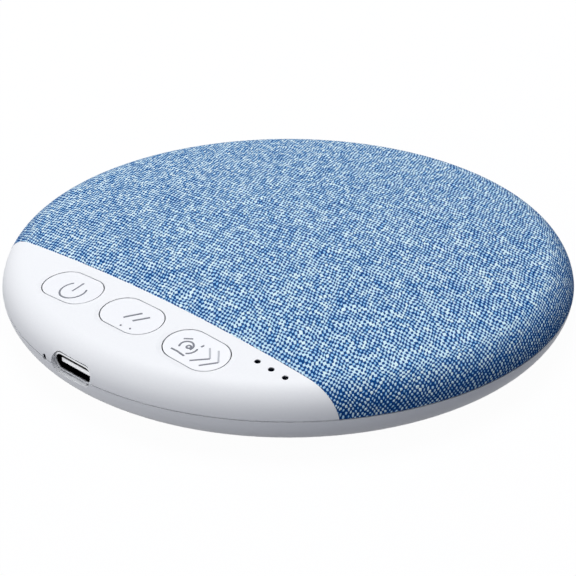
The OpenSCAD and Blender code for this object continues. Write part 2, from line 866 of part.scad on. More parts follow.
module audio_chip() {
    color("black") on_board(-chip_x, chip_inset, audio_chip_w, audio_chip_w, chip_h);
}

module amplifier_chip() {
    color("black") on_board(chip_x, chip_inset, amplifier_chip_w, amplifier_chip_w, chip_h);
}

// Crystal, charging coil and capacitors
module board_parts() {
    color("tan")
    union() {
        on_board(-crystal_x, chip_inset, crystal_l, capacitor_l, small_part_h);
        on_board(inductor_x, chip_inset, inductor_w, inductor_w, inductor_h);
        for (side = [-1, 1])
            on_board(-capacitor_x, chip_inset + side * part_gap, capacitor_l / 2, capacitor_l, small_part_h);
        on_board(chip_x, capacitor_inset, capacitor_l / 2, capacitor_l, small_part_h);
    }
}

// Pressed frame of the loudspeaker: flange, open basket and the seat of the steel cup
module driver_frame() {
    z_low = z_driver - frame_t;
    color("dimgray")
    difference() {
        rotate_extrude()
            polygon([
                [driver_r, z_driver], [driver_r, z_low], [roll_out + frame_t, z_low],
                [basket_r, z_basket], [yoke_r + glue, z_basket], [yoke_r + glue, z_basket + frame_t],
                [basket_r - frame_t / 2, z_basket + frame_t], [roll_out, z_low], [roll_out, z_driver]
            ]);
        for (angle = [0:60:300])
            rotate(angle)
                translate([basket_r + frame_t, -yoke_r / 3, z_basket])
                    cube([roll_out - basket_r - 2 * frame_t, yoke_r / 1.5, z_low - z_basket - frame_t]);
    }
}

// Steel cup around the magnet
module driver_yoke() {
    color("silver")
    translate([0, 0, z_yoke])
        difference() {
            cylinder(r = yoke_r, h = yoke_h);
            translate([0, 0, yoke_floor]) cylinder(r = yoke_r - yoke_wall, h = yoke_h);
        }
}

module driver_magnet() {
    color("gray")
    translate([0, 0, z_yoke + yoke_floor]) cylinder(d = magnet_d, h = magnet_t);
}

module driver_top_plate() {
    color("silver")
    translate([0, 0, z_yoke + yoke_h - pole_t]) cylinder(d = magnet_d, h = pole_t);
}

// Shallow paper cone with a flat rim for the roll
module driver_cone() {
    color("darkslategray")
    rotate_extrude()
        polygon([
            [cone_r, z_driver], [cone_r, z_driver - cone_t], [cone_rim_r, z_driver - cone_t],
            [neck_r, z_neck - cone_t], [neck_r, z_neck], [cone_rim_r, z_driver]
        ]);
}

// Domed cap over the coil
module dust_cap() {
    z_ball = z_cap + cap_rise - cap_ball;
    edge = acos(cap_r / cap_ball);
    color("darkslategray")
    rotate_extrude()
        polygon(concat(
            arc(0, z_ball, cap_ball, edge, 90, dome_steps),
            arc(0, z_ball, cap_ball - cone_t, 90, edge, dome_steps)
        ));
}

module voice_coil() {
    color("peru") ring(coil_r, coil_r + coil_t, z_coil, z_neck);
}

// Half round roll, with a flat lip on the cone and one on the frame
module driver_surround() {
    roll_r = roll_w / 2;
    lip_end = roll_r + roll_lip;
    lip_turn = asin(roll_t / roll_r);
    color("black")
    rotate_extrude()
        translate([roll_out - roll_r, z_driver])
            polygon(concat(
                [[-lip_end, roll_t], [-lip_end, 0]],
                arc(0, 0, roll_r - roll_t, 180, 0, bend_steps),
                [[lip_end, 0], [lip_end, roll_t]],
                arc(0, 0, roll_r, lip_turn, 180 - lip_turn, bend_steps)
            ));
}

module driver_gasket() {
    color("darkgray") ring(driver_hole_r, driver_r, z_driver, z_seat);
}

module driver_pad() {
    color("darkgray")
    translate([0, 0, z_floor]) cylinder(r = yoke_r, h = z_yoke - z_floor);
}

// Pouch cell with rounded long edges
module battery_cell() {
    color("lightsteelblue")
    translate([-battery_l / 2, battery_y, z_battery + battery_t / 2])
        rotate([90, 0, 90])
            linear_extrude(battery_l) {
                square([battery_w - 2 * cell_round, battery_t], center = true);
                square([battery_w, battery_t - 2 * cell_round], center = true);
                for (x = [-1, 1], z = [-1, 1])
                    translate([x * (battery_w / 2 - cell_round), z * (battery_t / 2 - cell_round)])
                        circle(r = cell_round, $fn = 32);
            }
}

module battery_tape() {
    color("white")
    translate([0, battery_y, z_floor + tape_t / 2])
        cube([battery_l - 4 * cell_round, battery_w - 4 * cell_round, tape_t], center = true);
}

// Smooth points along a route
function spline(route) = [
    for (i = [0:len(route) - 2], step = [0:wire_steps - 1])
        let (
            t = step / wire_steps,
            before = route[max(i - 1, 0)],
            from = route[i],
            to = route[i + 1],
            after = route[min(i + 2, len(route) - 1)]
        )
        from + t / 2 * (to - before + t * (2 * before - 5 * from + 4 * to - after
            + t * (3 * from - before - 3 * to + after))),
    route[len(route) - 1]
];

// Direction of a route's smooth points at one of them
function heading(points, i) =
    let (ahead = points[min(i + 1, len(points) - 1)] - points[max(i - 1, 0)]) ahead / norm(ahead);

// A side vector made square to a direction
function squared(side, ahead) =
    let (flat = side - (side * ahead) * ahead) flat / norm(flat);

// Round wire along a route, one unbroken tube
module wire(route) {
    points = spline(route);
    count = len(points);
    first = squared([0.3, 0.9, 0.2], heading(points, 0));
    rings = [
        for (
            i = 0, side = first;
            i < count;
            i = i + 1, side = squared(side, heading(points, min(i, count - 1)))
        )
            let (over = cross(heading(points, i), side))
                for (k = [0:wire_sides - 1])
                    let (a = 360 * k / wire_sides)
                        points[i] + wire_d / 2 * (cos(a) * side + sin(a) * over)
    ];
    sides = [
        for (i = [0:count - 2], k = [0:wire_sides - 1])
            let (
                a = i * wire_sides + k,
                b = i * wire_sides + (k + 1) % wire_sides
            )
                each [[a, a + wire_sides, b], [b, a + wire_sides, b + wire_sides]]
    ];
    tail = (count - 1) * wire_sides;
    ends = [for (k = [1:wire_sides - 2]) each [[0, k, k + 1], [tail, tail + k + 1, tail + k]]];
    polyhedron(points = rings, faces = concat(sides, ends));
}

module battery_leads() {
    color("firebrick")
    for (route = battery_wire_routes) wire(route);
}

module speaker_leads() {
    color("goldenrod")
    for (route = speaker_wire_routes) wire(route);
}

// Pan head screw with a cross recess, its head down and its shank up
module screw(d, head_d, head_h, length) {
    slot = head_d / 5;
    difference() {
        union() {
            cylinder(d = head_d, h = head_h, $fn = 32);
            cylinder(d = d, h = head_h + length, $fn = 32);
        }
        for (turn = [0, 90])
            rotate(turn) cube([head_d * 0.6, slot, head_h], center = true);
    }
}

module case_screws() {
    color("silver")
    at_screws() translate([0, 0, z_head])
        screw(screw_d, screw_head_d, screw_head_h, z_joint + screw_bite - z_screw_seat);
}

module board_screws() {
    color("silver")
    at_places(post_places) translate([0, 0, z_board + board_head_h])
        mirror([0, 0, 1])
            screw(board_screw_d, board_head_d, board_head_h, z_board - z_floor);
}

// Rubber feet in recesses, over the case screws
module rubber_feet() {
    color("dimgray")
    at_screws()
        rotate_extrude()
            polygon([
                [0, 0], [foot_d / 2 - foot_bevel, 0], [foot_d / 2, foot_bevel],
                [foot_d / 2, foot_h + foot_sink], [0, foot_h + foot_sink]
            ]);
}

lower_shell();
top_shell();
speaker_grille();
fabric_cover();
power_button();
play_button();
timer_button();
power_plunger();
play_plunger();
timer_plunger();
light_guide();
usb_shell();
usb_tongue();
main_board();
tact_switches();
indicator_leds();
audio_chip();
amplifier_chip();
board_parts();
driver_frame();
driver_yoke();
driver_magnet();
driver_top_plate();
driver_cone();
dust_cap();
voice_coil();
driver_surround();
driver_gasket();
driver_pad();
battery_cell();
battery_tape();
battery_leads();
speaker_leads();
case_screws();
board_screws();
rubber_feet();
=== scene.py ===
import math

import bmesh
import bpy
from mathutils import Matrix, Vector


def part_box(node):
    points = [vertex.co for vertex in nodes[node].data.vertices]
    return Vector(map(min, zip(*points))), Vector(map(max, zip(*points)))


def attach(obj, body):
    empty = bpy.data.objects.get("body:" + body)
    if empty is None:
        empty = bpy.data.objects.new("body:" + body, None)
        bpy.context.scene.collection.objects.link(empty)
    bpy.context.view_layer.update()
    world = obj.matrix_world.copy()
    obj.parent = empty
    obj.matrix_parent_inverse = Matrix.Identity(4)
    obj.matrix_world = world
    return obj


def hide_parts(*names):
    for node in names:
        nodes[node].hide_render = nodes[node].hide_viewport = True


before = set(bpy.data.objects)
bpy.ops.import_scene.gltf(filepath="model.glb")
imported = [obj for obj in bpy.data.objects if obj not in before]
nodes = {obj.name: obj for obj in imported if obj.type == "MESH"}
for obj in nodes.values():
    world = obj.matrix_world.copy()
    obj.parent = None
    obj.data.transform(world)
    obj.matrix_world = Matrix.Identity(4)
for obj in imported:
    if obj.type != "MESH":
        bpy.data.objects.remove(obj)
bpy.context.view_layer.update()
scene = bpy.context.scene
scene.view_settings.view_transform = "Standard"
mm = 0.001
weld = 0.002 * mm  # corners nearer than this become one
near = 0.01 * mm  # nearer than this counts as touching
tiny = 1e-9  # the least distance from the axis, so that it can divide
print("frame:", len(nodes), "CAD nodes")


# Small tools for modelling

def onlySelect(piece):
    bpy.ops.object.select_all(action="DESELECT")
    piece.select_set(True)
    bpy.context.view_layer.objects.active = piece


def startEdit(piece):
    onlySelect(piece)
    bpy.ops.object.mode_set(mode="EDIT")
    bpy.ops.mesh.select_all(action="DESELECT")


def endEdit():
    bpy.ops.object.mode_set(mode="OBJECT")


def pick(piece, kind, test):  # selects the corners or edges that pass a test
    bpy.ops.mesh.select_mode(type=kind)
    bpy.ops.mesh.select_all(action="DESELECT")
    work = bmesh.from_edit_mesh(piece.data)
    for part in {"VERT": work.verts, "EDGE": work.edges}[kind]:
        if test(part):
            part.select_set(True)
    work.select_flush_mode()
    bmesh.update_edit_mesh(piece.data)


def startPoint(name, spot):  # a mesh of one corner, to be drawn out
    bpy.ops.object.select_all(action="DESELECT")
    bpy.ops.mesh.primitive_plane_add(size=mm)
    piece = bpy.context.object
    piece.name = name
    bpy.ops.object.mode_set(mode="EDIT")
    bpy.ops.mesh.select_mode(type="VERT")
    bpy.ops.mesh.select_all(action="SELECT")
    bpy.ops.mesh.merge(type="CENTER")
    bpy.ops.transform.translate(value=spot)
    return piece


def drawLine(points):  # draws the selected corner out from the first point to the others
    for before, after in zip(points, points[1:]):
        step = Vector(after) - Vector(before)
        bpy.ops.mesh.extrude_vertices_move(TRANSFORM_OT_translate={"value": step})


def arcPoints(centre, radius, start, end, steps):  # angles in degrees
    turns = [math.radians(start + (end - start) * i / steps) for i in range(steps + 1)]
    return [(centre[0] + radius * math.cos(t), centre[1] + radius * math.sin(t)) for t in turns]


def closeSeams():  # welds the piece in edit mode and turns its faces outwards
    bpy.ops.mesh.select_all(action="SELECT")
    bpy.ops.mesh.remove_doubles(threshold=weld)
    bpy.ops.mesh.normals_make_consistent(inside=False)


def spinOutline(name, outline, steps):  # turns an outline of radius and height about the axis
    points = [(r, 0, z) for r, z in outline]
    piece = startPoint(name, points[0])
    drawLine(points)
    bpy.ops.mesh.select_all(action="SELECT")
    bpy.ops.mesh.spin(steps=steps, angle=2 * math.pi, center=(0, 0, 0), axis=(0, 0, 1))
    closeSeams()
    return piece


def applyModifier(piece, kind, settings):
    onlySelect(piece)
    modifier = piece.modifiers.new(kind.lower(), kind)
    for name, value in settings.items():
        setattr(modifier, name, value)
    bpy.ops.object.modifier_apply(modifier=modifier.name)


def smooth(piece, degrees=40):  # sharper edges stay sharp
    onlySelect(piece)
    bpy.ops.object.shade_smooth_by_angle(angle=math.radians(degrees))


def place(piece, body, material, stands=()):  # every new piece ends here
    piece.data.name = piece.name
    piece.data.materials.clear()
    piece.data.materials.append(material)
    if stands:
        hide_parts(*stands)
    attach(piece, body)
    print("piece:", piece.name, len(piece.data.polygons), "faces")


painted = set()


def paint(material, *names):  # gives CAD nodes their finish
    painted.update(names)
    for name in names:
        nodes[name].data.materials.clear()
        nodes[name].data.materials.append(material)


# Small tools for materials

def fromHex(text):  # sRGB hex to linear colour
    parts = [int(text[i:i + 2], 16) / 255 for i in (1, 3, 5)]
    linear = [c / 12.92 if c <= 0.04045 else ((c + 0.055) / 1.055) ** 2.4 for c in parts]
    return (*linear, 1)


def addNode(tree, kind, settings, inputs):  # inputs are links, numbers or hex colours
    node = tree.nodes.new("ShaderNode" + kind)
    for name, value in settings.items():
        setattr(node, name, value)
    for key, value in inputs.items():
        if isinstance(value, bpy.types.NodeSocket):
            tree.links.new(value, node.inputs[key])
        else:
            node.inputs[key].default_value = fromHex(value) if isinstance(value, str) else value
    return node.outputs


def newMaterial(name, sockets):
    material = bpy.data.materials.new(name)
    material.use_nodes = True
    shader = material.node_tree.nodes["Principled BSDF"]
    for socket, value in dict(sockets).items():
        shader.inputs[socket].default_value = value
    return material, material.node_tree, shader


# A finish whose colour, gloss and relief follow a fine grain; grain and depth are in millimetres
def grained(name, low, high, grain, depth, rough, sockets=(), stretch=(1, 1, 1)):
    material, tree, shader = newMaterial(name, sockets)
    spot = addNode(tree, "TexCoord", {}, {})["Object"]
    stretched = addNode(tree, "Mapping", {}, {"Vector": spot, "Scale": stretch})[0]
    fine = {"Vector": stretched, "Scale": 1 / (grain * mm), "Detail": 3}
    noise = addNode(tree, "TexNoise", {}, fine)["Fac"]
    colour = addNode(tree, "Mix", {"data_type": "RGBA"}, {0: noise, 6: low, 7: high})[2]
    dull = addNode(tree, "MapRange", {}, {"Value": noise, "To Min": rough[0], "To Max": rough[1]})[0]
    relief = addNode(tree, "Bump", {}, {"Height": noise, "Distance": depth * mm})[0]
    for socket, source in (("Base Color", colour), ("Roughness", dull), ("Normal", relief)):
        tree.links.new(source, shader.inputs[socket])
    return material


# Camera and light

view = {"turn": 42.3214, "rise": 28.823, "distance": 0.245, "aim": 0.9218 * mm,
        "lens": 85.269, "sensor": 36, "nearest": 0.01,  # lens and sensor in millimetres, angles in degrees
        "asidePixels": -0.1953, "widePixels": 576}


def addCamera():
    turn, rise = math.radians(view["turn"]), math.radians(view["rise"])
    back = Vector((math.sin(turn) * math.cos(rise), -math.cos(turn) * math.cos(rise), math.sin(rise)))
    spot = Vector((0, 0, view["aim"])) + view["distance"] * back
    bpy.ops.object.camera_add(location=spot, rotation=(math.pi / 2 - rise, 0, turn))
    camera = bpy.context.object
    camera.data.sensor_width = view["sensor"]
    camera.data.sensor_fit = "HORIZONTAL"
    camera.data.lens = view["lens"]
    camera.data.shift_x = view["asidePixels"] / view["widePixels"]
    camera.data.clip_start = view["nearest"]
    scene.camera = camera


studio = {"air": 0.16, "airColour": "#DDE6FF",
          "floorSize": 8, "floor": "#80828A", "floorShare": 0.9, "floorGlow": 1.08,
          "lampSize": 0.6, "lamp": 8.0, "lampPlace": (-0.22, 0.2, 0.92),
          "front": 2.9, "frontPlace": (-0.1, -0.85, 0.42)}


def seenDirectly(tree):  # 1 for what the camera, a mirror or a clear part shows
    path = addNode(tree, "LightPath", {}, {})
    larger = {"operation": "MAXIMUM"}
    pair = addNode(tree, "Math", larger, {0: path["Is Camera Ray"], 1: path["Is Glossy Ray"]})[0]
    return addNode(tree, "Math", larger, {0: pair, 1: path["Is Transmission Ray"]})[0]


def addStudio():
    world = bpy.data.worlds.new("studioAir")
    scene.world = world
    world.use_nodes = True
    tree = world.node_tree
    ground = tree.nodes["Background"]
    seen = seenDirectly(tree)
    level = addNode(tree, "MapRange", {}, {"Value": seen, "To Min": studio["air"], "To Max": 1})[0]
    colour = addNode(tree, "Mix", {"data_type": "RGBA"}, {0: seen, 6: studio["airColour"], 7: "#FFFFFF"})[2]
    tree.links.new(level, ground.inputs["Strength"])
    tree.links.new(colour, ground.inputs["Color"])

    for name in ("lamp", "front"):
        bpy.ops.object.light_add(type="AREA", location=studio[name + "Place"])
        softBox = bpy.context.object
        softBox.name = name + "Box"
        softBox.data.shape = "SQUARE"
        softBox.data.size = studio["lampSize"]
        softBox.data.energy = studio[name]
        softBox.rotation_euler = (-softBox.location).to_track_quat("-Z", "Y").to_euler()

    # matt paper: plain white to the eye, and grey to the light, so that little of it is thrown back up
    bpy.ops.object.select_all(action="DESELECT")
    bpy.ops.mesh.primitive_plane_add(size=studio["floorSize"])
    floor = bpy.context.object
    floor.name = "floor"
    material, tree, shader = newMaterial("matt white paper", {"Roughness": 0.9})
    shader.inputs["Base Color"].default_value = fromHex(studio["floor"])
    white = addNode(tree, "Emission", {}, {"Strength": studio["floorGlow"]})[0]
    share = addNode(tree, "MapRange", {}, {"Value": seenDirectly(tree), "To Max": studio["floorShare"]})[0]
    both = addNode(tree, "MixShader", {}, {0: share, 1: shader.outputs[0], 2: white})[0]
    tree.links.new(both, tree.nodes["Material Output"].inputs["Surface"])
    floor.data.materials.append(material)


addCamera()
addStudio()
print("camera and studio light are set")


# The crown's skin, as the casing has it: a wide dome that runs into a round shoulder

crown = {"radius": 50 * mm, "domeRadius": 340 * mm, "shoulderRadius": 5.5 * mm,
         "seam": 6 * mm, "rim": 6.2 * mm, "top": 13.75 * mm, "edge": -31.5 * mm}
crown["domeZ"] = crown["top"] - crown["domeRadius"]
seamRise = crown["seam"] - crown["domeZ"]
toSeam = math.hypot(crown["radius"], seamRise)
toShoulder = crown["domeRadius"] - crown["shoulderRadius"]
along = (toShoulder ** 2 - crown["shoulderRadius"] ** 2 + toSeam ** 2) / (2 * toSeam)
aside = math.sqrt(toShoulder ** 2 - along ** 2)
crown["shoulderX"] = (along * crown["radius"] - aside * seamRise) / toSeam
crown["shoulderZ"] = crown["domeZ"] + (along * seamRise + aside * crown["radius"]) / toSeam
crown["blend"] = math.atan2(crown["shoulderZ"] - crown["domeZ"], crown["shoulderX"])
crown["blendR"] = crown["domeRadius"] * math.cos(crown["blend"])


def crownZ(r, proud=0):  # height of the skin at a distance from the axis
    if r <= crown["blendR"]:
        return crown["domeZ"] + math.sqrt((crown["domeRadius"] + proud) ** 2 - r * r)
    bend = (crown["shoulderRadius"] + proud) ** 2 - (r - crown["shoulderX"]) ** 2
    return crown["shoulderZ"] + math.sqrt(max(0, bend))


def crownReach(r, z):  # way along the skin from the middle
    if r <= crown["blendR"]:
        return crown["domeRadius"] * math.asin(r / crown["domeRadius"])
    turn = crown["blend"] - math.atan2(z - crown["shoulderZ"], r - crown["shoulderX"])
    start = crown["domeRadius"] * (math.pi / 2 - crown["blend"])
    return start + crown["shoulderRadius"] * turn


# Woven cover: one sheet over the crown, folded down at the straight edge and in at the rim

cover = {"edge": -31.46 * mm, "fold": 1.5 * mm, "foldRound": 0.16 * mm, "foldSteps": 4, "return": 0.65 * mm,
         "thick": 0.28 * mm, "domeSteps": 24, "shoulderSteps": 12, "spinSteps": 224, "smooth": 35,
         "tuckFrom": 0.05 * mm, "cutNear": 0.001 * mm, "cutRim": 0.06 * mm, "cutWeld": 0.15 * mm}


def coverProfile():
    blend = math.degrees(crown["blend"])
    last = math.degrees(math.asin((crown["rim"] - crown["shoulderZ"]) / crown["shoulderRadius"]))
    middle = (crown["shoulderX"], crown["shoulderZ"])
    points = arcPoints((0, crown["domeZ"]), crown["domeRadius"], 90, blend, cover["domeSteps"])
    points += arcPoints(middle, crown["shoulderRadius"], blend, last, cover["shoulderSteps"])[1:]
    points.append((points[-1][0] - cover["return"], crown["rim"]))
    return points


def coverThread(spot):  # where a point of the cover lies in the flat cloth
    r = max(math.hypot(spot.x, spot.y), tiny)
    tucked = spot.z < crown["rim"] + near and r < crown["radius"] - cover["tuckFrom"]
    within = min(r, crown["radius"])
    skin = crown["rim"] if tucked else crownZ(within)
    reach = crownReach(within, max(spot.z, crown["rim"]))
    if tucked:
        reach = crownReach(crown["radius"], crown["rim"]) + crown["radius"] - r
    start = crownReach(crown["blendR"], 0)
    reach += weave["packed"] * max(0, reach - start)  # the weave lies closer towards the rim
    drop = max(0, skin - spot.z) if spot.y < cover["edge"] + cover["foldRound"] and not tucked else 0
    return reach * spot.x / r, reach * spot.y / r - drop


def foldCover(piece, start):  # turns the cut edge down over the panel's straight edge
    def onCut(spot):  # without the part that is tucked in at the rim
        return abs(spot.y - start) < cover["cutNear"] and (
            spot.z > crown["rim"] + cover["cutNear"]
            or math.hypot(spot.x, spot.y) > crown["radius"] - cover["cutRim"])

    pick(piece, "VERT", lambda v: onCut(v.co))
    bpy.ops.mesh.remove_doubles(threshold=cover["cutWeld"])
    pick(piece, "EDGE", lambda e: all(onCut(v.co) for v in e.verts))
    turns = [math.pi / 2 * i / cover["foldSteps"] for i in range(cover["foldSteps"] + 1)]
    fold = [Vector((0, -math.sin(t), math.cos(t) - 1)) * cover["foldRound"] for t in turns]
    fold.append(fold[-1] - Vector((0, 0, cover["fold"])))
    for before, after in zip(fold, fold[1:]):
        bpy.ops.mesh.extrude_edges_move(TRANSFORM_OT_translate={"value": after - before})
    pick(piece, "VERT", lambda v: v.co.z < crown["rim"])
    bpy.ops.transform.resize(value=(1, 1, 0), center_override=(0, 0, crown["rim"]))
    for corner in bmesh.from_edit_mesh(piece.data).verts:  # the fold's ends stay within the rim
        r = math.hypot(corner.co.x, corner.co.y)
        if r > crown["radius"]:
            corner.co.xy *= crown["radius"] / r


def layThreads(piece):  # the piece's UV map is the flat cloth
    flat = piece.data.uv_layers["UVMap"]
    flat.name = "weave"
    for loop in piece.data.loops:
        flat.data[loop.index].uv = coverThread(piece.data.vertices[loop.vertex_index].co)


def makeCover():
    piece = spinOutline("clothCover", coverProfile(), cover["spinSteps"])
    start = cover["edge"] + cover["foldRound"]
    bpy.ops.mesh.bisect(plane_co=(0, start, 0), plane_no=(0, 1, 0), clear_inner=True,
                        threshold=cover["cutNear"])
    foldCover(piece, start)
    closeSeams()
    endEdit()
    layThreads(piece)
    applyModifier(piece, "SOLIDIFY", {"thickness": cover["thick"], "offset": -1})
    smooth(piece, cover["smooth"])
    place(piece, "case", wovenCloth(), ["fabric_cover"])


# spacing and slant of the yarns, how far they stray, lie closer or open over the shoulder (partly painted
# shade there), their slubs, and the gaps' sizes
weave = {"warp": 0.645 * mm, "weft": 0.745 * mm, "lean": 0.445,
         "stray": 2.4, "strayScale": 0.2, "packed": 0.4, "openedAndShaded": 0.16,
         "slubScale": 1.1, "slubLength": 2, "speckle": 0.4, "spread": (0.25, 0.75),
         "thinGap": 0.59, "thickGap": 0.31, "gapEdge": 0.12, "relief": 0.15 * mm,
         "thinYarn": "#96CEF6", "thickYarn": "#E4FAFF", "gap": "#0E4688"}


# Polyester cloth in plain weave: pale and sky-blue floats side by side, deep blue in the gaps between them
def wovenCloth():
    material, tree, shader = newMaterial("woven polyester cloth", {
        "Roughness": 0.9, "Specular IOR Level": 0.05})
    flat = addNode(tree, "UVMap", {"uv_map": "weave"}, {})[0]

    # yarns are counted from the middle; the warp leans, and none runs quite straight
    across, up = addNode(tree, "SeparateXYZ", {}, {0: flat})[:2]
    leaning = addNode(tree, "Math", {"operation": "MULTIPLY_ADD"}, {0: up, 1: weave["lean"], 2: across})[0]
    warps = addNode(tree, "Math", {"operation": "DIVIDE"}, {0: leaning, 1: weave["warp"]})[0]
    wefts = addNode(tree, "Math", {"operation": "DIVIDE"}, {0: up, 1: weave["weft"]})[0]
    grid = addNode(tree, "CombineXYZ", {}, {0: warps, 1: wefts})[0]
    wide = {"Vector": grid, "Scale": weave["strayScale"], "Detail": 3}
    drift = addNode(tree, "TexNoise", {}, wide)["Color"]
    stray = (weave["stray"], weave["stray"], 0)
    count = addNode(tree, "VectorMath", {"operation": "MULTIPLY_ADD"}, {0: drift, 1: stray, 2: grid})[0]
    cell = addNode(tree, "VectorMath", {"operation": "FLOOR"}, {0: count})[0]
    inside = addNode(tree, "VectorMath", {"operation": "FRACTION"}, {0: count})[0]
    column, row = addNode(tree, "SeparateXYZ", {}, {0: cell})[:2]
    total = addNode(tree, "Math", {"operation": "ADD"}, {0: column, 1: row})[0]
    warpOver = addNode(tree, "Math", {"operation": "FLOORED_MODULO"}, {0: total, 1: 2})[0]

    # floats bulge between the gaps, and thick ones run into their neighbours
    arches = []
    for spot in addNode(tree, "SeparateXYZ", {}, {0: inside})[:2]:
        turn = addNode(tree, "Math", {"operation": "MULTIPLY"}, {0: spot, 1: math.pi})[0]
        arches.append(addNode(tree, "Math", {"operation": "SINE"}, {0: turn})[0])
    squares = [addNode(tree, "Math", {"operation": "MULTIPLY"}, {0: a, 1: a})[0] for a in arches]
    bulge = addNode(tree, "Mix", {}, {0: 0.5, 2: squares[0], 3: squares[1]})[0]

    # a yarn stays thick or thin for a few floats, and each float differs a little
    yarns = []
    shrink = 1 / weave["slubLength"]
    for stretch in ((shrink, 1, 1), (1, shrink, 1)):
        spot = addNode(tree, "VectorMath", {"operation": "MULTIPLY"}, {0: cell, 1: stretch})[0]
        slub = {"Vector": spot, "Scale": weave["slubScale"], "Detail": 1}
        yarns.append(addNode(tree, "TexNoise", {}, slub)["Fac"])
    thick = addNode(tree, "Mix", {}, {0: warpOver, 2: yarns[0], 3: yarns[1]})[0]
    speck = addNode(tree, "TexWhiteNoise", {}, {"Vector": cell})["Value"]
    uneven = addNode(tree, "Mix", {}, {0: weave["speckle"], 2: thick, 3: speck})[0]
    share = addNode(tree, "MapRange", {}, {
        "Value": uneven, "From Min": weave["spread"][0], "From Max": weave["spread"][1]})[0]
    yarn = addNode(tree, "Mix", {"data_type": "RGBA"}, {
        0: share, 6: weave["thinYarn"], 7: weave["thickYarn"]})[2]
    low = addNode(tree, "MapRange", {}, {
        "Value": share, "To Min": weave["thinGap"], "To Max": weave["thickGap"]})[0]

    # the pull over the shoulder opens the gaps, and more of the deep blue between the yarns shows towards
    # the rim: partly that pull, partly painted shade on the shoulder
    reach = addNode(tree, "VectorMath", {"operation": "LENGTH"}, {0: flat})["Value"]
    start, end = crownReach(crown["blendR"], 0), crownReach(crown["radius"], crown["rim"])
    pullAndShade = addNode(tree, "MapRange", {}, {
        "Value": reach, "From Min": start, "From Max": end, "To Max": weave["openedAndShaded"]})[0]
    low = addNode(tree, "Math", {"operation": "ADD"}, {0: low, 1: pullAndShade})[0]
    high = addNode(tree, "Math", {"operation": "ADD"}, {0: low, 1: weave["gapEdge"]})[0]
    shown = addNode(tree, "MapRange", {}, {"Value": bulge, "From Min": low, "From Max": high})[0]
    colour = addNode(tree, "Mix", {"data_type": "RGBA"}, {0: shown, 6: weave["gap"], 7: yarn})[2]
    tree.links.new(colour, shader.inputs["Base Color"])
    relief = addNode(tree, "Bump", {}, {"Height": bulge, "Strength": 0.8, "Distance": weave["relief"]})[0]
    tree.links.new(relief, shader.inputs["Normal"])
    return material


makeCover()


# Shells: the casing's own meshes, merged, with broken edges, shaded along the drawn curves

shells = {"smooth": 30, "onSkin": 0.02 * mm, "dish": 0.4 * mm, "facing": 0.9, "level": 0.999,
          "edgeBreak": 0.06 * mm, "rimBreak": 0.05 * mm, "breakSteps": 3,
          "lowerX": 44.167 * mm, "lowerZ": 6.45 * mm, "lowerRound": 5.85 * mm}


def copyNode(name, node):
    onlySelect(nodes[node])
    bpy.ops.object.duplicate()
    piece = bpy.context.object
    piece.name = name
    piece.parent = None
    for key in list(piece.keys()):
        if key.startswith("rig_"):
            del piece[key]
    startEdit(piece)
    bpy.ops.mesh.select_all(action="SELECT")
    bpy.ops.mesh.remove_doubles(threshold=weld)
    endEdit()
    return piece


def skinNormal(spot):  # direction of the casing's curve at a point on it, nothing elsewhere
    r = max(math.hypot(spot.x, spot.y), tiny)
    if spot.z < crown["seam"] + near:
        middle, bend = (shells["lowerX"], shells["lowerZ"]), shells["lowerRound"]
    elif r <= crown["blendR"]:
        middle, bend = (0, crown["domeZ"]), crown["domeRadius"]
    else:
        middle, bend = (crown["shoulderX"], crown["shoulderZ"]), crown["shoulderRadius"]
    away = Vector((r - middle[0], spot.z - middle[1]))
    if abs(away.length - bend) > shells["onSkin"] or away.x < -near:
        return None
    return Vector((away.x * spot.x / r, away.x * spot.y / r, away.y)).normalized()


# the outside is shaded by the curve itself, a dish by its own slopes, and the base flat
def shadeSkin(piece):
    mesh = piece.data
    normals = [Vector((0, 0, 0))] * len(mesh.loops)
    slopes = {}
    dishes = []
    for face in mesh.polygons:
        wanted = [skinNormal(mesh.vertices[i].co) for i in face.vertices]
        depth = crownZ(min(face.center.xy.length, crown["radius"])) - face.center.z
        if all(n and n.dot(face.normal) > shells["facing"] for n in wanted):
            for loop, normal in zip(face.loop_indices, wanted):
                normals[loop] = normal
        elif face.normal.z > shells["facing"] and depth < shells["dish"]:
            dishes.append(face)
            for corner in face.vertices:
                slopes[corner] = slopes.get(corner, Vector((0, 0, 0))) + face.normal * face.area
        elif face.normal.z < -shells["level"]:
            for loop in face.loop_indices:
                normals[loop] = face.normal.copy()
    for face in dishes:
        for loop, corner in zip(face.loop_indices, face.vertices):
            normals[loop] = slopes[corner].normalized()
    mesh.normals_split_custom_set(normals)


def breakEdge(piece, test, size):
    startEdit(piece)
    pick(piece, "EDGE", lambda e: all(test(v.co) for v in e.verts))
    bpy.ops.mesh.bevel(offset=size, segments=shells["breakSteps"], affect="EDGES")
    endEdit()


# Injection-moulded ABS: near white, satin, with a spark-eroded grain, coarser than real so that it shows
def whiteShell():
    return grained("moulded white ABS", "#F0F1F3", "#F5F6F7",
                   grain=0.35, depth=0.006, rough=(0.42, 0.52), sockets={"Specular IOR Level": 0.3})


def onPanelEdge(spot):
    return abs(spot.y - crown["edge"]) < weld and (
        abs(spot.z - crownZ(math.hypot(spot.x, spot.y))) < shells["onSkin"])


def onRim(spot):
    return abs(spot.z - crown["seam"]) < weld and (
        math.hypot(spot.x, spot.y) > crown["radius"] - shells["onSkin"])


shellMaterial = whiteShell()
for name, node, test, size in (("upperShell", "top_shell", onPanelEdge, shells["edgeBreak"]),
                               ("lowerShell", "lower_shell", onRim, shells["rimBreak"])):
    piece = copyNode(name, node)
    breakEdge(piece, test, size)
    smooth(piece, shells["smooth"])
    shadeSkin(piece)
    place(piece, "case", shellMaterial, [node])


# Soft rings of the loudspeaker

def softRing(name, outline, steps):
    piece = spinOutline(name, outline, steps)
    endEdit()
    smooth(piece)
    return piece


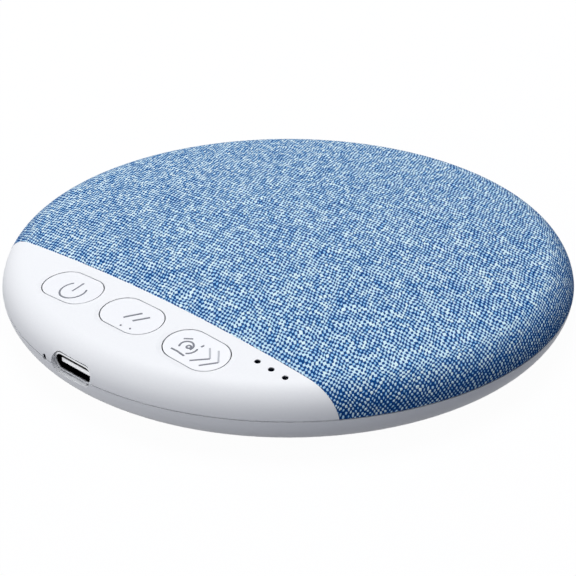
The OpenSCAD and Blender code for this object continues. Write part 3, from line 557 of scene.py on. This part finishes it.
# foam ring above the loudspeaker and foam disc under it
foam = {"gasketIn": 15.5 * mm, "round": 0.18 * mm, "roundSteps": 4, "spinSteps": 96, "fill": 0.9}


# Open-cell polyurethane foam: dark, dull, with fine pores
def openFoam():
    return grained("open-cell foam", "#26282B", "#4A4D52",
                   grain=0.6, depth=0.2, rough=(0.85, 1), sockets={"Specular IOR Level": 0.15})


def foamRing(name, node, inner):
    low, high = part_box(node)
    bend, steps = foam["round"], foam["roundSteps"]
    outline = arcPoints((high.x - bend, low.z + bend), bend, -90, 0, steps)
    outline += arcPoints((high.x - bend, high.z - bend), bend, 0, 90, steps)
    if inner > 0:
        outline += arcPoints((inner + bend, high.z - bend), bend, 90, 180, steps)
        outline += arcPoints((inner + bend, low.z + bend), bend, 180, 270, steps)
        outline.append(outline[0])
    else:
        outline = [(0, low.z)] + outline + [(0, high.z)]
    piece = softRing(name, outline, foam["spinSteps"])
    place(piece, "case", foamMaterial, [node])


foamMaterial = openFoam()
foamRing("foamGasket", "driver_gasket", foam["gasketIn"])
foamRing("foamPad", "driver_pad", 0)

# rubber roll: the arch stays on the frame, its inner lip goes with the cone
roll = {"lip": 0.9 * mm, "thick": 0.3 * mm, "slit": 0.02 * mm, "bendSteps": 24, "spinSteps": 96}


# Moulded butyl rubber: black and dull
def rollRubber():
    return grained("black butyl rubber", "#1A1B1C", "#2A2B2D",
                   grain=0.4, depth=0.01, rough=(0.6, 0.75))


def makeRoll():
    low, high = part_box("driver_surround")
    bend, top = high.z - low.z, low.z + roll["thick"]
    middle = (high.x - roll["lip"] - bend, low.z)
    meets = math.degrees(math.asin(roll["thick"] / bend))
    arch = arcPoints(middle, bend - roll["thick"], 180, 0, roll["bendSteps"])
    arch += [(high.x, low.z), (high.x, top)]
    arch += arcPoints(middle, bend, meets, 180 - meets, roll["bendSteps"])
    arch.append(arch[0])
    outer = middle[0] - bend - roll["slit"]
    inner = outer + roll["slit"] - roll["lip"]
    lip = [(inner, low.z), (outer, low.z), (outer, top), (inner, top), (inner, low.z)]
    rubber = rollRubber()
    piece = softRing("rollArch", arch, roll["spinSteps"])
    place(piece, "case", rubber, ["driver_surround"])
    piece = softRing("rollLip", lip, roll["spinSteps"])
    place(piece, "cone", rubber)


makeRoll()


# Signs on the keys: thin strokes, a little proud of the key tops, in millimetres from the key's middle

signs = {"keySink": 0.2 * mm, "sunk": 0.2 * mm, "tubeSteps": 4}
powerSign = {"tube": 0.265 * mm, "strokes": [
    arcPoints((0.8, -0.55), 2.25, 136, 395, 36), [(0.82, -0.8), (0.66, 1.86)]]}
playSign = {"tube": 0.29 * mm, "strokes": [
    [(-0.82, -1.09), (0.9, 1.43)], [(1.12, -0.91), (2.72, 1.36)],
    [(0.35, -2.9), (0.55, -2.7)], [(2.25, -2.65), (2.45, -2.45)]]}
timerSign = {"tube": 0.265 * mm, "strokes": [
    [(-3.55, 0.77), (-2.35, 1.62)],
    arcPoints((-1.9, -0.25), 1.12, 222, -18, 24),
    arcPoints((-1.45, -0.2), 0.36, 230, -130, 16),
    [(-3.36, -2.08), (-2.15, -2.03), (-0.47, -2.2)],
    arcPoints((-1.35, -0.35), 1.45, -62, 22, 12),
    [(0.08, 0.94), (0.12, 1.51)],
    [(1.0, -2.45), (3.12, -0.24)],
    [(2.93, -2.41), (4.73, -0.05)]]}
# the chevrons' upper strokes, in pale grey as painted light on the side that faces the lamp
timerLitStrokes = {"tube": 0.255 * mm, "strokes": [[(3.12, -0.24), (1.31, 1.58)], [(4.73, -0.05), (2.78, 2.0)]]}


def makeSign(name, node, body, sign, ink):
    low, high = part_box(node)
    middle = (low + high) / 2
    strokes = []
    for stroke in sign["strokes"]:
        spots = [(middle.x + x * mm, middle.y + y * mm) for x, y in stroke]
        points = [(x, y, crownZ(math.hypot(x, y), -signs["keySink"]) - signs["sunk"]) for x, y in spots]
        piece = startPoint(name, points[0])
        drawLine(points)
        endEdit()
        onlySelect(piece)
        bpy.ops.object.convert(target="CURVE")
        piece.data.bevel_depth = sign["tube"]
        piece.data.bevel_resolution = signs["tubeSteps"]
        piece.data.use_fill_caps = True
        bpy.ops.object.convert(target="MESH")
        strokes.append(piece)
    bpy.ops.object.select_all(action="DESELECT")
    for piece in strokes:
        piece.select_set(True)
    bpy.context.view_layer.objects.active = strokes[0]
    bpy.ops.object.join()
    piece = bpy.context.object
    piece.name = name
    smooth(piece)
    place(piece, body, ink)


# Pad-printed grey ink, even, slightly duller than the key under it; the pale grey, equally even and dull,
# is painted light on the strokes that face the lamp
greyInk = grained("pad-printed grey ink", "#686B75", "#767983",
                  grain=0.3, depth=0.01, rough=(0.5, 0.6))
litSideInk = grained("pale ink as painted light", "#B4B6BD", "#C0C2C8",
                  grain=0.3, depth=0.01, rough=(0.5, 0.6))
makeSign("powerSign", "power_button", "power_key", powerSign, greyInk)
makeSign("playSign", "play_button", "play_key", playSign, greyInk)
makeSign("timerSign", "timer_button", "timer_key", timerSign, greyInk)
# the timer's pale strokes: painted light
makeSign("timerLitStrokes", "timer_button", "timer_key", timerLitStrokes, litSideInk)


# Finishes of the CAD nodes

# Injection-moulded ABS keys: near white, a little smoother than the shells
paint(grained("satin white ABS", "#F0F1F4", "#F5F6F8",
              grain=0.35, depth=0.004, rough=(0.3, 0.4)),
      "power_button", "play_button", "timer_button")

# Smoked polycarbonate: near black, dull
smoked = grained("smoked polycarbonate", "#04060B", "#080B14",
                 grain=0.4, depth=0.001, rough=(0.5, 0.6), sockets={"Specular IOR Level": 0})
paint(smoked, "light_guide")

# Small lens behind the pinhole, of the same plastic: a smoked lens, and painted shade, near black so that
# the deep hole shows dark
lens = {"radius": 0.47 * mm, "long": 0.5 * mm, "round": 0.12 * mm, "sides": 32,
        "front": 49.8 * mm, "angle": -97.82, "height": 6.2 * mm}


def makeLens():
    turn = math.radians(lens["angle"])
    reach = lens["front"] - lens["long"] / 2
    spot = (reach * math.cos(turn), reach * math.sin(turn), lens["height"])
    bpy.ops.object.select_all(action="DESELECT")
    bpy.ops.mesh.primitive_cylinder_add(vertices=lens["sides"], radius=lens["radius"], depth=lens["long"],
                                        location=spot, rotation=(0, math.pi / 2, turn))
    bpy.ops.object.transform_apply(location=True, rotation=True, scale=True)
    piece = bpy.context.object
    piece.name = "pinholeShadeLens"
    outward = Vector((math.cos(turn), math.sin(turn), 0))
    breakEdge(piece, lambda spot: spot.dot(outward) > lens["front"] - near, lens["round"])
    smooth(piece)
    place(piece, "case", smoked)


makeLens()

# Charging port: how far in its pieces stay bright, and the black behind that, painted shade inside the
# steel sleeve
port = {"dark": "#040507", "blend": 0.1 * mm, "sleeveRim": 0.12 * mm, "tongueRim": 0.1 * mm}


def paintedShadeAndBlackBehind(material, front):  # bright metal at the front of a port piece, dull black behind it: painted shade inside the sleeve, the insulator's own black in the tongue
    tree = material.node_tree
    shader = tree.nodes["Principled BSDF"]
    spot = addNode(tree, "TexCoord", {}, {})["Object"]
    depth = addNode(tree, "SeparateXYZ", {}, {0: spot})[1]
    behind = addNode(tree, "MapRange", {}, {
        "Value": depth, "From Min": front, "From Max": front + port["blend"]})[0]
    bright = shader.inputs["Base Color"].links[0].from_socket
    # behind the front the colour turns black: painted shade in the sleeve, the insulator's own black in the
    # tongue
    colour = addNode(tree, "Mix", {"data_type": "RGBA"}, {0: behind, 6: bright, 7: port["dark"]})[2]
    tree.links.new(colour, shader.inputs["Base Color"])
    metal = addNode(tree, "MapRange", {}, {"Value": behind, "To Min": 1, "To Max": 0})[0]
    tree.links.new(metal, shader.inputs["Metallic"])


# Nickel-plated steel: bright at the mouth, painted black further in as the shade inside the sleeve, faint
# marks along the sleeve
nickel = grained("nickel-plated steel", "#DCDEE2", "#ECEDF0",
                 grain=0.25, depth=0.002, rough=(0.3, 0.4), sockets={"Specular IOR Level": 0},
                 stretch=(1, 0.15, 1))
paintedShadeAndBlackBehind(nickel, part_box("usb_shell")[0].y + port["sleeveRim"])
paint(nickel, "usb_shell")

# Liquid-crystal polymer: black, dull, with the bright front edge of its steel core
insulator = grained("moulded insulator", "#E2E3E6", "#F0F0F2",
                    grain=0.3, depth=0.004, rough=(0.6, 0.7), sockets={"Specular IOR Level": 0})
paintedShadeAndBlackBehind(insulator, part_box("usb_tongue")[0].y + port["tongueRim"])
paint(insulator, "usb_tongue")

# Moulded nylon of the grille cap: mid grey, dull
paint(grained("moulded grey nylon", "#5A5E66", "#6B6F78",
              grain=0.4, depth=0.01, rough=(0.5, 0.65)), "speaker_grille")

# Glass-epoxy board under green solder mask: glossy, faint fibre weave
paint(grained("solder mask on glass epoxy", "#0E5A34", "#167044",
              grain=0.6, depth=0.006, rough=(0.25, 0.4)), "main_board")

# Moulded epoxy of chips and switches: black, satin
paint(grained("black moulded epoxy", "#151617", "#232426",
              grain=0.25, depth=0.006, rough=(0.45, 0.6)),
      "audio_chip", "amplifier_chip", "tact_switches", "power_plunger", "play_plunger", "timer_plunger")

# Milky silicone of the lamps: cream, smooth
paint(grained("milky silicone", "#E9E3B8", "#F4EFCF",
              grain=0.3, depth=0.002, rough=(0.25, 0.35)), "indicator_leds")

# Sintered ceramic: tan, matt
paint(grained("sintered ceramic", "#9C7B52", "#B7966A",
              grain=0.25, depth=0.006, rough=(0.5, 0.7)), "board_parts")

# Zinc-plated steel of pressings and screws: bright grey, with soft reflections
paint(grained("zinc-plated steel", "#9DA1A6", "#B9BDC2",
              grain=0.5, depth=0.004, rough=(0.28, 0.42), sockets={"Metallic": 1}),
      "driver_frame", "driver_yoke", "driver_top_plate", "case_screws", "board_screws")

# Sintered magnet under nickel: mid grey, smooth
paint(grained("plated magnet", "#8A8D92", "#A0A3A8",
              grain=0.4, depth=0.002, rough=(0.22, 0.32), sockets={"Metallic": 1}),
      "driver_magnet")

# Pressed paper pulp: black, fibrous
paint(grained("pressed paper pulp", "#1B1B1C", "#343436",
              grain=0.5, depth=0.05, rough=(0.8, 0.95), stretch=(1, 1, 0.4)),
      "driver_cone", "dust_cap")

# Enamelled copper wire: warm brown, wound in rings 0.15 mm apart
paint(grained("enamelled copper wire", "#8C4A1E", "#C2783A",
              grain=0.15, depth=0.03, rough=(0.25, 0.4), sockets={"Metallic": 0.6},
              stretch=(0.02, 0.02, 1)), "voice_coil")

# Silicone rubber: grey and dull
paint(grained("grey silicone rubber", "#8E9198", "#9CA0A7",
              grain=0.4, depth=0.01, rough=(0.6, 0.75)), "rubber_feet")

# Aluminium laminate foil of the cell: pale grey, with a sheen, faintly dimpled
paint(grained("aluminium laminate foil", "#B4B8BD", "#CDD0D4",
              grain=0.8, depth=0.02, rough=(0.25, 0.4), sockets={"Metallic": 0.8}),
      "battery_cell")

# Polyimide tape: amber, glossy film
paint(grained("amber polyimide tape", "#B5762A", "#CF923E",
              grain=0.8, depth=0.006, rough=(0.2, 0.3)), "battery_tape")

# Silicone wire sleeves: plain red and yellow, satin
paint(grained("red wire sleeve", "#9E1E1E", "#B82A28",
              grain=0.4, depth=0.004, rough=(0.4, 0.5)), "battery_leads")
paint(grained("yellow wire sleeve", "#B99A22", "#D0B23A",
              grain=0.4, depth=0.004, rough=(0.4, 0.5)), "speaker_leads")

unpainted = [name for name, node in nodes.items() if not node.hide_render and name not in painted]
print("CAD nodes without a finish:", unpainted)
